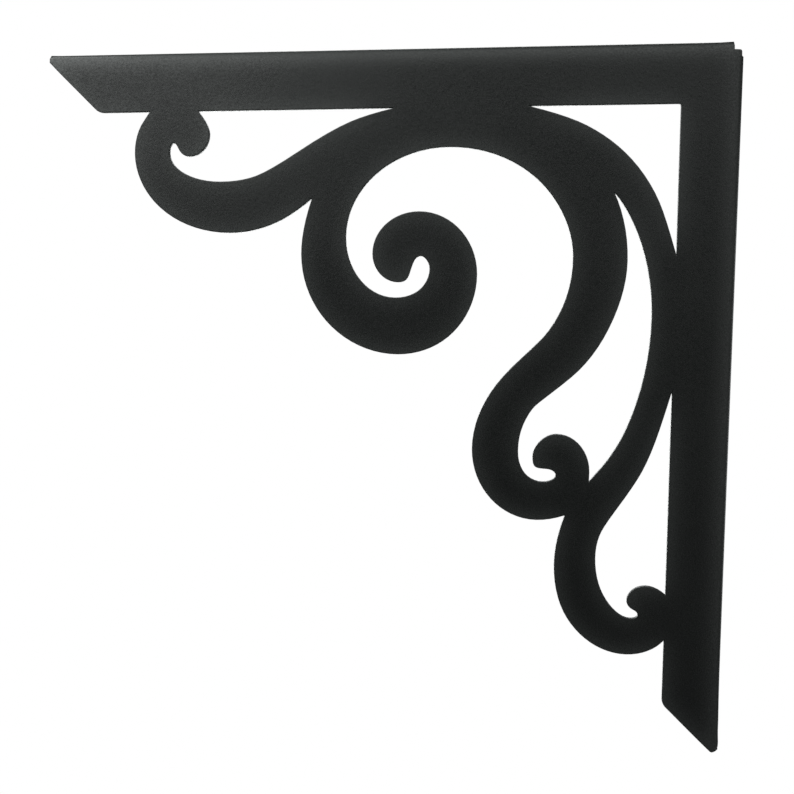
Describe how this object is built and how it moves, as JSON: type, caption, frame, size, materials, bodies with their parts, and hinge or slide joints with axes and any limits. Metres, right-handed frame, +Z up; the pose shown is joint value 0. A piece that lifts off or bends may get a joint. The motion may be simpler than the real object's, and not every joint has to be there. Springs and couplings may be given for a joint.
{
  "type": "scrollwork shelf bracket",
  "caption": "Flat scrollwork shelf bracket of folded black sheet steel, with slant-ended arm and leg, curling scrolls in the angle, and flanges folded back along shelf and wall.",
  "frame": {"origin": "centre of the wall flange's flat outer face, where the bracket bears on the wall", "axes": "+X into the wall, so the arm reaches toward -X; +Z up to the shelf; -Y toward the viewer, the side of the flat scrollwork face"},
  "size_m": [0.2943, 0.0251, 0.3053],
  "materials": {
    "black_coat": "satin black powder coat with a fine, even texture"
  },
  "bodies": {
    "root": {"scroll_bracket": "black_coat"}
  },
  "joints": []
}
